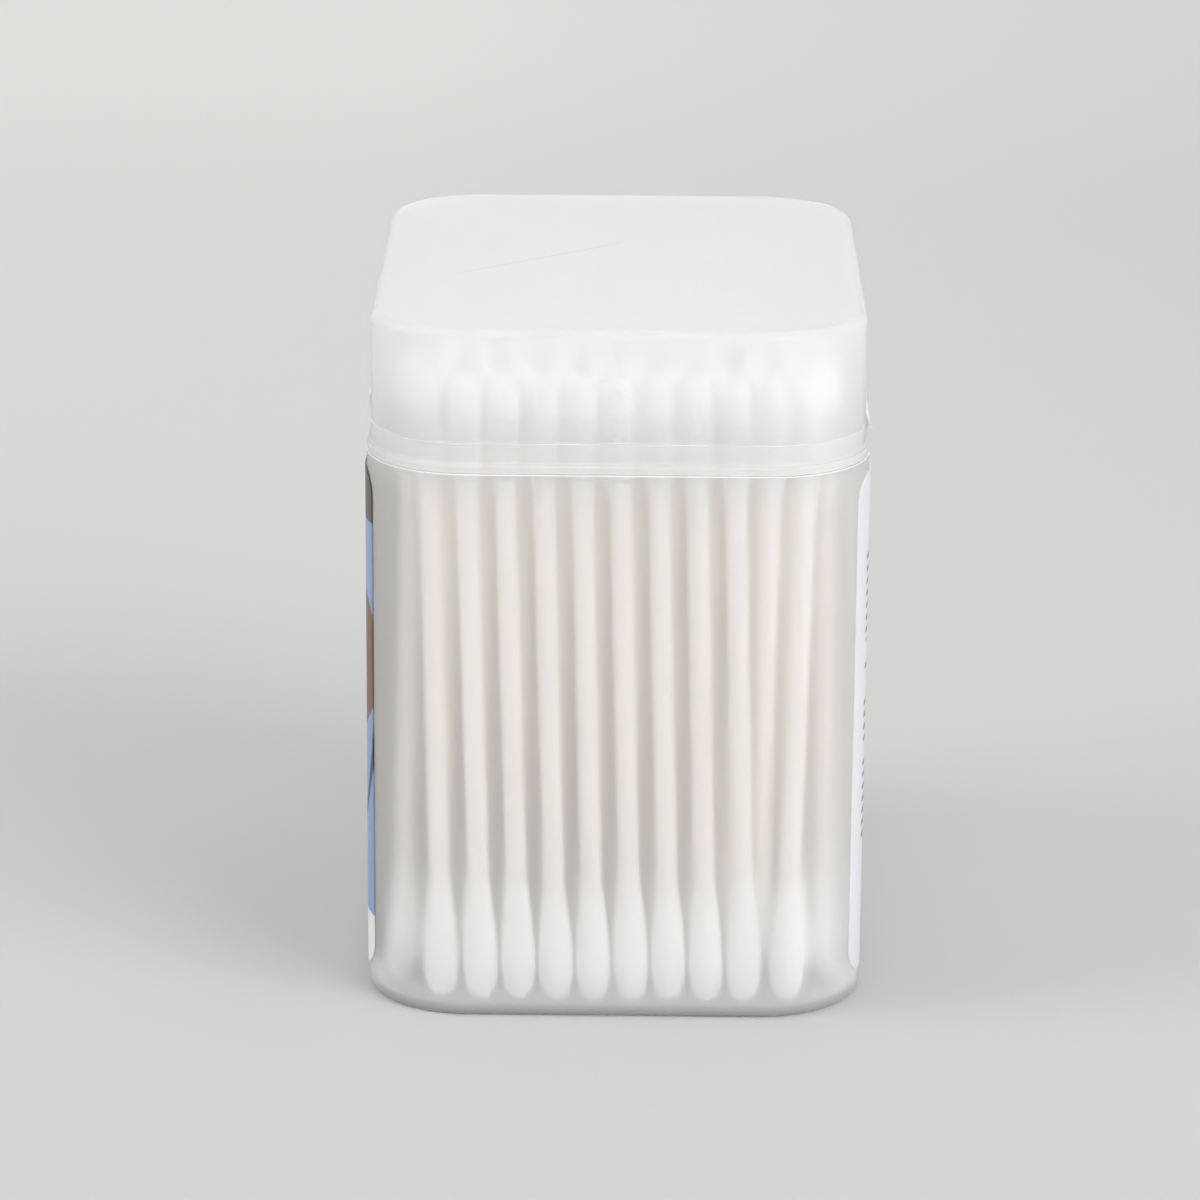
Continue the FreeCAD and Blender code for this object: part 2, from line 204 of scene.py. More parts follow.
def round_section(corners, closed, bright, polished):
    """Rounds a polyline's corners: each becomes an arc that touches both its runs, with one more
    point just outside each end of the arc, so that smooth shading stays flat between corners.
    Returns the points, and for each which finish the run from it to the next has."""
    count = len(corners)
    out, finishes = [], []
    for item, (x, z, radius) in enumerate(corners):
        here = np.array([x, z])
        finish = POLISHED if item in polished else ETCHED
        if radius == 0 or (not closed and item in (0, count - 1)):
            out.append(here)
            finishes.append(finish)
            continue
        before = np.array(corners[item - 1][:2]) - here
        after = np.array(corners[(item + 1) % count][:2]) - here
        before, after = before / np.linalg.norm(before), after / np.linalg.norm(after)
        half = math.acos(np.clip(before @ after, -1, 1)) / 2
        cut = radius / math.tan(half)
        middle = here + (before + after) / np.linalg.norm(before + after) * radius / math.sin(half)
        start, end = here + before * cut - middle, here + after * cut - middle
        turn = math.pi - 2 * half
        share = np.linspace(0, 1, ARC_STEPS + 1)[:, None]
        arc = (np.sin((1 - share) * turn) * start + np.sin(share * turn) * end) / math.sin(turn)
        ease = EDGE_EASE * radius
        out += [middle + start + before * ease, *(middle + arc), middle + end + after * ease]
        finishes += [GLOWING if item in bright else finish] * (ARC_STEPS + 2) + [finish]
    return np.array(out), np.array(finishes)


def plan_directions():
    """Points around a rounded rectangle as (flat part, corner direction): a point at inset i is
    flat + direction * (corner radius - i). Flats have points near both their ends too."""
    flat_x, flat_y = HALF_WIDTH - CORNER, HALF_DEPTH - CORNER
    quarter = np.linspace(0, math.pi / 2, PLAN_ARC + 1)
    flats, ways = [], []
    for turn, (sx, sy) in enumerate([(1, -1), (1, 1), (-1, 1), (-1, -1)]):
        angles = quarter + (turn - 1) * math.pi / 2
        ways.append(np.stack([np.cos(angles), np.sin(angles)], axis=1))
        flats.append(np.tile([sx * flat_x, sy * flat_y], (len(angles), 1)))
        following = np.array([(1, 1), (-1, 1), (-1, -1), (1, -1)][turn]) * [flat_x, flat_y]
        share = np.array([0.02, 0.1, 0.3, 0.5, 0.7, 0.9, 0.98])[:, None]
        flats.append(flats[-1][-1] * (1 - share) + following * share)
        ways.append(np.tile(ways[-1][-1], (len(share), 1)))
    return np.concatenate(flats), np.concatenate(ways)


PLAN_FLAT, PLAN_WAY = plan_directions()


def carry_around(section):
    """The grid (section point, plan point) of a section of (inset, height) points, in mm."""
    reach = CORNER - section[:, 0]
    flat = PLAN_FLAT[None] + np.minimum(reach, 0)[:, None, None] * np.sign(PLAN_FLAT)[None]
    around = flat + PLAN_WAY[None] * np.maximum(reach, 0)[:, None, None]
    height = np.broadcast_to(section[:, 1, None, None], (*around.shape[:2], 1))
    return np.concatenate([around, height], axis=2)


FINISHES = {}


def shell(name, corners, body, node, bright=(), polished=(), closed=False, extras=()):
    """A moulded shell from its section. bright lists the corners whose edge glows, polished those
    whose arc and next run are smooth inner faces, and extras are small solids of the same
    moulding, thin enough to glow all over."""
    section, finishes = round_section(corners, closed, bright, polished)
    if closed:
        section = np.concatenate([section, section[:1]])
    else:
        finishes = finishes[:-1]
    grid = carry_around(section)
    rows, columns = grid.shape[:2]
    points = grid.reshape(-1, 3)
    faces = grid_quads(rows, columns).tolist()
    if closed:
        points = points[:-columns]
        faces = (np.array(faces) % len(points)).tolist()
    else:
        faces += [ring_cap(columns, 0, True), ring_cap(columns, (rows - 1) * columns, False)]
    for extra_points, extra_faces in extras:
        faces += [[corner + len(points) for corner in face] for face in extra_faces]
        points = np.concatenate([points, extra_points])
    piece = new_piece(name, points * MM, faces, body, [node])
    in_grid = (rows - 1) * columns
    kinds = np.full(len(piece.data.polygons), GLOWING, np.int32)
    kinds[:in_grid] = np.repeat(finishes, columns)
    if not closed:
        kinds[in_grid:in_grid + 2] = finishes[0], finishes[-1]
    FINISHES[name] = kinds
    return piece


def bar_along_y(section, length):
    """A closed bar: a convex or stepped section in X and Z, carried along Y, with flat ends."""
    section = np.array(section)
    ends = np.array([-0.5, -0.496, 0.496, 0.5]) * length
    points = np.array([[(x, y, z) for x, z in section] for y in ends])
    rows, columns = points.shape[:2]
    faces = grid_quads(rows, columns).tolist()
    faces += [ring_cap(columns, 0, True), ring_cap(columns, (rows - 1) * columns, False)]
    return points.reshape(-1, 3), faces


# %% [markdown]
# The section runs from the middle of the underside out and up the outer wall, over the rim and
# down the inner wall, so that its faces point outwards all the way round. Where one moulding
# stands on another, a few hundredths of a millimetre of air are left, as in any dry seat: two
# faces of glass or plastic in exactly one plane would flicker. The hinge's halves and the lip are
# ribs of the same mouldings, and their roots start just inside the wall that carries them.

# %% Tub
CENTRE_INSET = 11.0
tub = shell("tub_shell", [
    (CENTRE_INSET, 0.0, 0),
    (0.0, 0.0, 0.9),
    (0.0, SHOULDER, 0.1),
    (NECK_INSET, SHOULDER, 0.1),
    (NECK_INSET, NECK_TOP, 0.3),
    (NECK_INSET + NECK_WALL, NECK_TOP, 0.3),
    (NECK_INSET + NECK_WALL, SHOULDER - TUB_WALL, 0.3),
    (TUB_WALL, SHOULDER - TUB_WALL, 0.3),
    (TUB_WALL, BASE, 0.8),
    (CENTRE_INSET, BASE, 0),
], "tub", "tub", bright=(2,), polished=(5, 6, 7, 8))

# %% Ring with its bead, and the ring's half of the hinge
HINGE_REACH = 0.6
HINGE_LENGTH = 34.0
HINGE_HALF = 0.8
HINGE_TIP = 0.44
ROOT = 0.05
lid_side = HALF_WIDTH - LID_INSET
hinge_face = -lid_side - HINGE_REACH + SEAT
ring_hinge = bar_along_y([
    (-lid_side + ROOT, SEAM - HINGE_HALF), (-lid_side + ROOT, SEAM),
    (hinge_face, SEAM), (hinge_face, SEAM - HINGE_TIP),
], HINGE_LENGTH)
ring = shell("snap_ring", [
    (RING_BORE, SHOULDER + SEAT, 0.06),
    (LID_INSET - BEAD_PROUD, SHOULDER + SEAT, 0.25),
    (LID_INSET - BEAD_PROUD, SHOULDER + BEAD_HEIGHT, 0.4),
    (LID_INSET, SHOULDER + BEAD_HEIGHT + 0.15, 0.3),
    (LID_INSET, SEAM, 0.06),
    (RING_BORE, SEAM, 0.06),
], "tub", "hinge_ring", bright=(1, 4), polished=(0, 4, 5), closed=True,
    extras=[ring_hinge])

# %% Lid with its finger lip, and the lid's half of the hinge
lid_hinge = bar_along_y([
    (-lid_side + ROOT, SEAM + SEAT), (-lid_side + ROOT, SEAM + HINGE_HALF),
    (hinge_face, SEAM + HINGE_TIP), (hinge_face, SEAM + SEAT),
], HINGE_LENGTH)
LIP_LENGTH = 46.0
LIP_REACH = 0.9
LIP_RISE = 1.5
LIP_DROP = 1.3
LIP_CLEAR = 0.12
lip = bar_along_y([
    (lid_side - ROOT, SEAM + LIP_RISE), (lid_side - ROOT, SEAM + SEAT),
    (lid_side + LIP_CLEAR, SEAM + SEAT), (lid_side + LIP_CLEAR, SEAM - LIP_DROP),
    (lid_side + LIP_REACH, SEAM - LIP_DROP),
], LIP_LENGTH)
lid = shell("flip_lid", [
    (CENTRE_INSET, LID_TOP - LID_ROOF, 0),
    (LID_INSET + LID_WALL, LID_TOP - LID_ROOF, 0.6),
    (LID_INSET + LID_WALL, SEAM + SEAT, 0.06),
    (LID_INSET, SEAM + SEAT, 0.15),
    (LID_INSET, LID_TOP, 1.1),
    (CENTRE_INSET, LID_TOP, 0),
], "lid", "lid", bright=(3,), polished=(0, 1, 2), extras=[lid_hinge, lip])

# %% [markdown]
# ## The swabs
#
# About 180 swabs stand in the tub, each leaning its own way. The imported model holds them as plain
# solids, so their places are read from it: each stick's mesh is a ring of points at either end,
# and the middle of a ring is the middle of that end. Everything else is worked out from those two
# points. A bud is a turned surface, so it has few faces and still shades round.

# %% Read the sticks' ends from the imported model
def separate_parts(mesh):
    """Numbers the separate solids in a mesh: each point takes the lowest number among those it
    is joined to, again and again until nothing changes. Returns the points and their numbers."""
    co = np.empty(len(mesh.vertices) * 3, np.float32)
    mesh.vertices.foreach_get("co", co)
    microns = np.round(co.reshape(-1, 3) / (0.001 * MM))
    points, same = np.unique(microns, axis=0, return_inverse=True)
    corner = np.empty(len(mesh.loops), np.int64)
    mesh.loops.foreach_get("vertex_index", corner)
    triangles = same.reshape(-1)[corner].reshape(-1, 3)
    edges = np.concatenate([triangles[:, [0, 1]], triangles[:, [1, 2]]])
    label = np.arange(len(points))
    while True:
        lowest = np.minimum(label[edges[:, 0]], label[edges[:, 1]])
        new = label.copy()
        np.minimum.at(new, edges[:, 0], lowest)
        np.minimum.at(new, edges[:, 1], lowest)
        new = new[new]
        if np.array_equal(new, label):
            return points * 0.001, label
        label = new


def stick_ends(node):
    """The (foot, head) points of every stick in a node, in mm, as two arrays."""
    points, label = separate_parts(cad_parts[node].data)
    feet, heads = [], []
    for number in np.unique(label):
        own = points[label == number]
        middle = own[:, 2].mean()
        feet.append(own[own[:, 2] < middle].mean(axis=0))
        heads.append(own[own[:, 2] >= middle].mean(axis=0))
    return np.array(feet), np.array(heads)


stick_nodes = sorted(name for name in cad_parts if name.startswith("swab_sticks"))
swabs = {node: stick_ends(node) for node in stick_nodes}
print(sum(len(feet) for feet, _ in swabs.values()), "swabs in", len(swabs), "rows")

# %% Turned surfaces along an axis
HALF_LENGTH = 35.0
NEAR_WALL = 4.5
DEEP_INSIDE = 8.5


def axes_across(way):
    """Two directions square to each axis: the first is level, the second completes the frame."""
    level = np.cross(way, [0.0, 1.0, 0.0])
    level /= np.linalg.norm(level, axis=1, keepdims=True)
    return level, np.cross(way, level)


def depth_in_pack(starts, ways):
    """0 for a swab that stands at a wall, 1 for one a few millimetres inside, by its middle."""
    middle = starts + ways * HALF_LENGTH
    gap = np.minimum(HALF_WIDTH - np.abs(middle[:, 0]), HALF_DEPTH - np.abs(middle[:, 1]))
    return np.clip((gap - NEAR_WALL) / (DEEP_INSIDE - NEAR_WALL), 0, 1)


def turned(name, starts, ways, along, radii, sides, replaced, spin):
    """Many turned shapes in one mesh. A point is start + way * along + radius * (level cos a +
    across sin a). along and radii have one row for each shape; the grids' ends are closed."""
    level, across = axes_across(ways)
    angle = (np.linspace(0, 2 * math.pi, sides, endpoint=False)[None] + spin[:, None])[:, :, None]
    round_it = np.cos(angle) * level[:, None] + np.sin(angle) * across[:, None]
    centre = starts[:, None] + ways[:, None] * along[:, :, None]
    points = centre[:, :, None] + radii[:, :, None, None] * round_it[:, None]
    count, rings = along.shape
    faces = []
    for shape in range(count):
        first = shape * rings * sides
        faces += grid_quads(rings, sides, first).tolist()
        faces += [ring_cap(sides, first, True), ring_cap(sides, first + (rings - 1) * sides, False)]
    piece = new_piece(name, points.reshape(-1, 3) * MM, faces, "tub", replaced)
    add_wound_uv(piece, points.shape[:3], along)
    depth = piece.data.attributes.new("depth_in_pack", "FLOAT", "POINT")
    depth.data.foreach_set("value", np.repeat(depth_in_pack(starts, ways), rings * sides))
    return piece


SHAPE_STEP = 100.0


def add_wound_uv(piece, shape, along):
    """A UV map for what is wound on: U is the share of a turn, V the millimetres along the axis,
    plus a step for each shape, so that no two shapes have the same pattern. Where a quad crosses
    the end of a turn, its corners past it get U + 1."""
    count, rings, sides = shape
    turn = np.broadcast_to(np.arange(sides) / sides, shape)
    height = along[:, :, None] + SHAPE_STEP * np.arange(count)[:, None, None]
    height = np.broadcast_to(height, shape)
    corner = np.empty(len(piece.data.loops), np.int64)
    piece.data.loops.foreach_get("vertex_index", corner)
    uv = np.stack([turn.reshape(-1)[corner], height.reshape(-1)[corner]], axis=1)
    first_of_face = np.empty(len(piece.data.polygons), np.int64)
    piece.data.polygons.foreach_get("loop_start", first_of_face)
    total = np.empty(len(piece.data.polygons), np.int64)
    piece.data.polygons.foreach_get("loop_total", total)
    owner = np.repeat(np.arange(len(total)), total)
    widest = np.maximum.reduceat(uv[:, 0], first_of_face)[owner]
    uv[:, 0] += (total[owner] == 4) * (widest > 0.75) * (uv[:, 0] < 0.25)
    layer = piece.data.uv_layers.new(name="wound")
    layer.data.foreach_set("uv", uv.reshape(-1).astype(np.float32))


# %% [markdown]
# A bud is cotton wound on the stick's end. From the photo it is blunt at the tip, fullest some
# three to four millimetres up, and then narrows steadily for a centimetre until it meets the
# stick. The radius along it is a half ellipse up to the fullest point and a smooth fall after it,
# and its last ring is tucked under the stick's surface. Each bud is drawn a little longer or
# fuller than the next, as no two are wound alike.

# %% Buds and sticks
BUD_RADIUS = 2.15
BUD_LENGTH = 14.6
BELLY = 4.0
STICK_RADIUS = 1.25
TIP_COVER = 1.5
BUD_STATIONS = np.array([0.02, 0.25, 0.9, 2.0, 4.0, 6.2, 8.8, 11.4, 13.8, 14.6])
BUD_SIDES = 12
STICK_SIDES = 12
COTTON_LAP = 0.02
COTTON_TUCK = 0.9
STRETCH = 0.94, 1.04
FULLNESS = 0.98, 1.0
UNEVEN = 0.01
STICK_STATIONS = np.array([0.0, 0.002, 0.5, 0.998, 1.0])
STICK_END = 0.96
draw = np.random.default_rng(11)


def bud_radii(along, fullness):
    """Up to the belly nearly a half ellipse, full * sqrt(1 - (1 - a / belly)^2.2). After it the
    radius falls from full to the collar, which lies on the stick, by 1 - share^1.5."""
    full, collar = BUD_RADIUS * fullness, STICK_RADIUS + COTTON_LAP
    rise = np.sqrt(np.clip(1 - (1 - np.minimum(along, BELLY) / BELLY) ** 2.2, 0, 1))
    share = np.clip((along - BELLY) / (BUD_LENGTH - BELLY), 0, 1)
    return np.where(along < BELLY, full * rise, collar + (full - collar) * (1 - share ** 1.5))


def bud_row(node, feet, heads):
    """Both buds of every swab in a row: their tips lie just past the ends of the sticks."""
    way = (heads - feet) / np.linalg.norm(heads - feet, axis=1, keepdims=True)
    starts = np.concatenate([feet - way * TIP_COVER, heads + way * TIP_COVER])
    ways = np.concatenate([way, -way])
    count = len(starts)
    stretch = draw.uniform(*STRETCH, (count, 1))
    along = np.minimum(BUD_STATIONS[None] * stretch, BUD_LENGTH)
    fullness = draw.uniform(*FULLNESS, (count, 1))
    radii = bud_radii(BUD_STATIONS[None], fullness)
    radii = radii * (1 - UNEVEN * draw.random(radii.shape))
    radii[:, -1] = STICK_RADIUS * COTTON_TUCK
    name = node.replace("swab_sticks", "cotton_buds")
    return turned(name, starts, ways, along, radii, BUD_SIDES,
                  [node.replace("sticks", "buds")], draw.uniform(0, 6.28, count))


def stick_row(node, feet, heads):
    """The paper sticks of a row, round tubes from end to end."""
    way = (heads - feet) / np.linalg.norm(heads - feet, axis=1, keepdims=True)
    length = np.linalg.norm(heads - feet, axis=1)[:, None]
    along = STICK_STATIONS[None] * length
    radii = np.full(along.shape, STICK_RADIUS)
    radii[:, [0, -1]] *= STICK_END
    name = node.replace("swab_sticks", "paper_sticks")
    return turned(name, feet, way, along, radii, STICK_SIDES, [node],
                  draw.uniform(0, 6.28, len(feet)))


bud_pieces = [bud_row(node, *ends) for node, ends in swabs.items()]
stick_pieces = [stick_row(node, *ends) for node, ends in swabs.items()]

# %% [markdown]
# ## The living hinge
#
# The lid and the ring are held together by a strap of the same plastic, thinned to a few tenths
# of a millimetre so that it can fold. It belongs to neither body: it is a thin strip that runs
# from just below the fold to just above it, thinnest at the fold.

# %% Hinge web
pivot_x = -lid_side - HINGE_REACH
WEB_REACH = 0.9
WEB_THICK = 0.3
WEB_WAIST = 0.35


def hinge_web():
    """A strip along Y whose height runs across the fold. It is thinnest at the fold: thickness =
    full * (1 - waist * cos(quarter turn * height / reach)^6)."""
    height = np.linspace(-WEB_REACH, WEB_REACH, 15)
    side = WEB_THICK * (1 - WEB_WAIST * np.cos(height / WEB_REACH * math.pi / 2) ** 6)
    outer = [(pivot_x + WEB_THICK - thick, SEAM + z) for z, thick in zip(height, side)]
    inner = [(pivot_x + WEB_THICK, SEAM + z) for z in height[::-1]]
    points, faces = bar_along_y(outer + inner, HINGE_LENGTH)
    web = new_piece("hinge_web", points * MM, faces, None, ())
    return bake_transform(web)


web = hinge_web()

# %% [markdown]
# ## Adding shader nodes
#
# One small function adds a node: its keyword settings are the node's own properties, and each
# entry of inputs is either a plain value or another node's output, which is linked. Colours are
# mixed so often that a second one does that.

# %% Node helper
def add(tree, kind, inputs=None, **settings):
    """A new node of a kind, with its settings and what its inputs get."""
    node = tree.nodes.new(kind)
    for name, value in settings.items():
        setattr(node, name, value)
    for socket, value in (inputs or {}).items():
        if isinstance(value, bpy.types.NodeSocket):
            tree.links.new(value, node.inputs[socket])
        else:
            node.inputs[socket].default_value = value
    return node


def paint(tree, under, mask, code):
    """A colour over another, as far as the mask says: under * (1 - mask) + colour * mask."""
    layer = add(tree, "ShaderNodeMix", {"Factor": mask, "A": under}, data_type="RGBA")
    layer.inputs["B"].default_value = linear(code)
    return layer.outputs["Result"]


def new_material(name):
    """An empty node material with its output, and its Principled shader, not yet linked."""
    material = bpy.data.materials.new(name)
    material.use_nodes = True
    tree = material.node_tree
    tree.nodes.clear()
    shader = add(tree, "ShaderNodeBsdfPrincipled")
    output = add(tree, "ShaderNodeOutputMaterial")
    tree.links.new(shader.outputs["BSDF"], output.inputs["Surface"])
    return material, tree, shader, output


def dress(material, *objects, others=()):
    """Gives objects a material, and a shell also the ones for its glowing and polished faces."""
    for item in objects:
        item.data.materials.clear()
        item.data.materials.append(material)
        if item.name in FINISHES:
            for other in others:
                item.data.materials.append(other)
            item.data.polygons.foreach_set("material_index", FINISHES[item.name])
    print(material.name, "on", len(objects), "piece(s)")


# %% [markdown]
# ## Frosted polypropylene
#
# Polypropylene is milky by nature: crystallites in it scatter light, and the mould's etched face
# scatters more. To the eye a wall is a soft blur that grows with distance: what touches it is
# nearly sharp, and what is a few millimetres behind melts away. Rough transmission gives just
# that blur, and the share that isn't transmitted gives the milk. A real etch is a few hundredths
# of a millimetre fine. It is drawn at half a millimetre here, as it wouldn't show otherwise.
#
# Edges look brighter than walls, as light that travels inside a wall leaves at its edge: they are
# the thin pale lines at the seam and the bead. Here edges get a milkier mix of the same plastic.
#
# The polymer's refractive index is 1.49, but a wall with that index traps half of the light that
# its milk scatters, and the tub goes grey. So the body of the wall gets a low index with a rough
# face, which blurs as much, and a thin coat gives the surface its own true reflection. Its base
# colour is a full white, as polypropylene scatters light without taking any: the shade of the tub
# is that of what stands in it. The etch and the milk are put on the outer faces, as the inner
# ones come from a polished core. The foot is thicker and milkier, its lowest curve lets some more
# of the floor through, the underside is scuffed white, and the neck is thin and clearer.

# %% Plastic of the three mouldings
BODY_INDEX = 1.15
SKIN_INDEX = 1.49
ETCH_MM = 0.5
FLOW_MM = 22.0
FLOW_CHANGE = 0.03


def frosted(name, clear_share, roughness, changes=()):
    """Milk and clear plastic mixed. Each of changes is (start, end, clear share from there on), in
    mm of height, for a part of the moulding that is thinner or thicker than the rest."""
    material, tree, shader, output = new_material(name)
    place = add(tree, "ShaderNodeTexCoord").outputs["Object"]
    etch = add(tree, "ShaderNodeTexNoise", {"Vector": place, "Scale": 1 / (ETCH_MM * MM),
                                            "Detail": 2.0, "Roughness": 0.6})
    flow = add(tree, "ShaderNodeTexNoise", {"Vector": place, "Scale": 1 / (FLOW_MM * MM),
                                            "Detail": 1.0})
    grain = add(tree, "ShaderNodeMapRange", {"Value": flow.outputs["Fac"], "From Min": 0.3,
                                             "From Max": 0.7, "To Min": roughness - FLOW_CHANGE,
                                             "To Max": roughness + FLOW_CHANGE})
    bump = add(tree, "ShaderNodeBump", {"Height": etch.outputs["Fac"], "Strength": 0.06,
                                        "Distance": 0.05 * MM})
    tree.links.new(grain.outputs["Result"], shader.inputs["Roughness"])
    tree.links.new(bump.outputs["Normal"], shader.inputs["Normal"])
    shader.inputs["Base Color"].default_value = linear("#FFFFFF")
    shader.inputs["IOR"].default_value = BODY_INDEX
    shader.inputs["Transmission Weight"].default_value = clear_share
    height = add(tree, "ShaderNodeSeparateXYZ", {"Vector": place}).outputs["Z"]
    for start, end, share in changes:
        change = add(tree, "ShaderNodeMapRange", {"Value": height, "From Min": start * MM,
                                                  "From Max": end * MM, "To Min": clear_share,
                                                  "To Max": share})
        clear_share = change.outputs["Result"]
        tree.links.new(clear_share, shader.inputs["Transmission Weight"])
    shader.inputs["Coat Weight"].default_value = 0.2
    shader.inputs["Coat IOR"].default_value = SKIN_INDEX
    shader.inputs["Coat Roughness"].default_value = 0.45
    return material


glowing = frosted("polypropylene_edge", 0.20, 0.70)
polished = frosted("polypropylene_polished_inside", 0.97, 0.30)
foot, sole, underside = (6.0, 3.0, 0.47), (1.8, 0.9, 0.62), (0.2, 0.02, 0.12)
neck = (SHOULDER - 0.3, SHOULDER + 0.3, 0.90)
dress(frosted("polypropylene_frosted_tub", 0.64, 0.62, [foot, sole, underside, neck]), tub,
      others=[glowing, polished])
dress(frosted("polypropylene_frosted_ring", 0.50, 0.58), ring, web, others=[glowing, polished])
dress(frosted("polypropylene_frosted_lid", 0.60, 0.72), lid, others=[glowing, polished])

# %% [markdown]
# ## Cotton and paper
#
# Bleached cotton wool is a bright white with a soft fibrous surface. It is wound on, so the fibres
# run around the bud at a slant, drawn about a fifth of a millimetre thick, as single ones are too
# fine to show. The stick is rolled from cream paper, glued along a spiral seam, and pressed
# smooth: a matt cream with a fine line that winds up it, once round in nine millimetres. Between
# the sticks light bounces many times from paper to paper and turns a warm peach, and the paper of
# the sticks deep in the pack is given a little of that warmth too.

# %% Wound cotton wool
def wound_cotton():
    """Noise that is stretched and turned a little, so that its strands climb around the bud."""
    material, tree, shader, output = new_material("wound_cotton_wool")
    wound = add(tree, "ShaderNodeUVMap", uv_map="wound").outputs["UV"]
    fibre = add(tree, "ShaderNodeMapping", {"Vector": wound, "Rotation": (0, 0, 0.35),
                                            "Scale": (3.0, 2.2, 1.0)})
    strands = add(tree, "ShaderNodeTexNoise", {"Vector": fibre.outputs["Vector"], "Scale": 2.4,
                                               "Detail": 4.0, "Roughness": 0.65, "Distortion": 0.6})
    tone = add(tree, "ShaderNodeMapRange", {"Value": strands.outputs["Fac"], "From Min": 0.3,
                                            "From Max": 0.7})
    colour = paint(tree, linear("#FBFBFA"), tone.outputs["Result"], "#FFFFFF")
    bump = add(tree, "ShaderNodeBump", {"Height": strands.outputs["Fac"], "Strength": 0.35,
                                        "Distance": 0.15 * MM})
    tree.links.new(colour, shader.inputs["Base Color"])
    tree.links.new(bump.outputs["Normal"], shader.inputs["Normal"])
    shader.inputs["Roughness"].default_value = 0.95
    shader.inputs["Specular IOR Level"].default_value = 0.2
    shader.inputs["Sheen Weight"].default_value = 0.25
    shader.inputs["Sheen Roughness"].default_value = 0.6
    return material


dress(wound_cotton(), *bud_pieces)

# %% Rolled paper stick
SPIRAL_MM = 9.0


def rolled_paper():
    """Along the seam, the fraction of height / pitch + share of a turn is close to 0."""
    material, tree, shader, output = new_material("rolled_paper_stick")
    wound = add(tree, "ShaderNodeUVMap", uv_map="wound").outputs["UV"]
    parts = add(tree, "ShaderNodeSeparateXYZ", {"Vector": wound})
    climb = add(tree, "ShaderNodeMath", {0: parts.outputs["Y"], 1: 1 / SPIRAL_MM},
                operation="MULTIPLY")
    phase = add(tree, "ShaderNodeMath", {0: climb.outputs[0], 1: parts.outputs["X"]},
                operation="ADD")
    lap = add(tree, "ShaderNodeMath", {0: phase.outputs[0]}, operation="FRACT")
    seam = add(tree, "ShaderNodeMapRange", {"Value": lap.outputs[0], "From Min": 0.0,
                                            "From Max": 0.07})
    pulp = add(tree, "ShaderNodeTexNoise", {"Vector": wound, "Scale": 3.0, "Detail": 3.0})
    tone = add(tree, "ShaderNodeMath", {0: seam.outputs["Result"], 1: pulp.outputs["Fac"]},
               operation="MULTIPLY")
    colour = paint(tree, linear("#FAF3E9"), tone.outputs[0], "#FFFCF6")
    # Painted bounce light: the paper of sticks deep in the pack is painted a lighter cream.
    depth = add(tree, "ShaderNodeAttribute", attribute_name="depth_in_pack")
    colour = paint(tree, colour, depth.outputs["Fac"], "#FFFAF2")
    bump = add(tree, "ShaderNodeBump", {"Height": seam.outputs["Result"], "Strength": 0.4,
                                        "Distance": 0.06 * MM})
    tree.links.new(colour, shader.inputs["Base Color"])
    tree.links.new(bump.outputs["Normal"], shader.inputs["Normal"])
    shader.inputs["Roughness"].default_value = 0.75
    shader.inputs["Specular IOR Level"].default_value = 0.3
    return material


dress(rolled_paper(), *stick_pieces)

# %% [markdown]
# ## The labels
#
# Each broad side has a printed film label. Their print is kept to plain fields of colour: on the
# front one a dark band at the top, blue fields, a tan disc, a dark arc and a white foot, and on
# the back one pale film with plain grey bars. A pattern here is a set of masks, each 0 or 1 over
# the film, and the colours are mixed in one after another.

# %% Masks from a film's own millimetres
EDGE_SOFT = 0.12


def film_place(tree):
    """Object coordinates in millimetres: across the film (Y) and up it (Z)."""
    place = add(tree, "ShaderNodeTexCoord").outputs["Object"]
    parts = add(tree, "ShaderNodeSeparateXYZ", {"Vector": place})
    return [add(tree, "ShaderNodeMath", {0: parts.outputs[axis], 1: 1 / MM},
                operation="MULTIPLY").outputs[0] for axis in "YZ"]


def above(tree, value, limit):
    """1 where a value lies above a limit, with an edge as soft as printed ink."""
    return add(tree, "ShaderNodeMapRange", {"Value": value, "From Min": limit - EDGE_SOFT,
                                            "From Max": limit + EDGE_SOFT}).outputs["Result"]


def both(tree, one, two):
    """1 where both masks are, and the product of any two values."""
    return add(tree, "ShaderNodeMath", {0: one, 1: two}, operation="MULTIPLY").outputs[0]


def opposite(tree, mask):
    """1 - mask."""
    return add(tree, "ShaderNodeMath", {0: 1.0, 1: mask}, operation="SUBTRACT").outputs[0]


def between(tree, value, low, high):
    """1 where a value lies between two limits."""
    return both(tree, above(tree, value, low), opposite(tree, above(tree, value, high)))


def distance_from(tree, across, up, centre):
    """How far a point of the film is from a centre: the root of the summed squares."""
    sides = [add(tree, "ShaderNodeMath", {0: value, 1: middle}, operation="SUBTRACT").outputs[0]
             for value, middle in zip((across, up), centre)]
    squares = [both(tree, side, side) for side in sides]
    total = add(tree, "ShaderNodeMath", {0: squares[0], 1: squares[1]}, operation="ADD")
    return add(tree, "ShaderNodeMath", {0: total.outputs[0]}, operation="SQRT").outputs[0]


def bare_inside(tree, printed, backing):
    """The film's backing where a face looks towards the tub's axis: normal . (x, y, 0) < 0."""
    place = add(tree, "ShaderNodeTexCoord").outputs["Object"]
    level = add(tree, "ShaderNodeVectorMath", {0: place, 1: (1.0, 1.0, 0.0)}, operation="MULTIPLY")
    normal = add(tree, "ShaderNodeNewGeometry").outputs["True Normal"]
    facing = add(tree, "ShaderNodeVectorMath", {0: level.outputs[0], 1: normal},
                 operation="DOT_PRODUCT")
    inward = add(tree, "ShaderNodeMath", {0: facing.outputs["Value"], 1: 0.0},
                 operation="LESS_THAN")
    return paint(tree, printed, inward.outputs[0], backing)


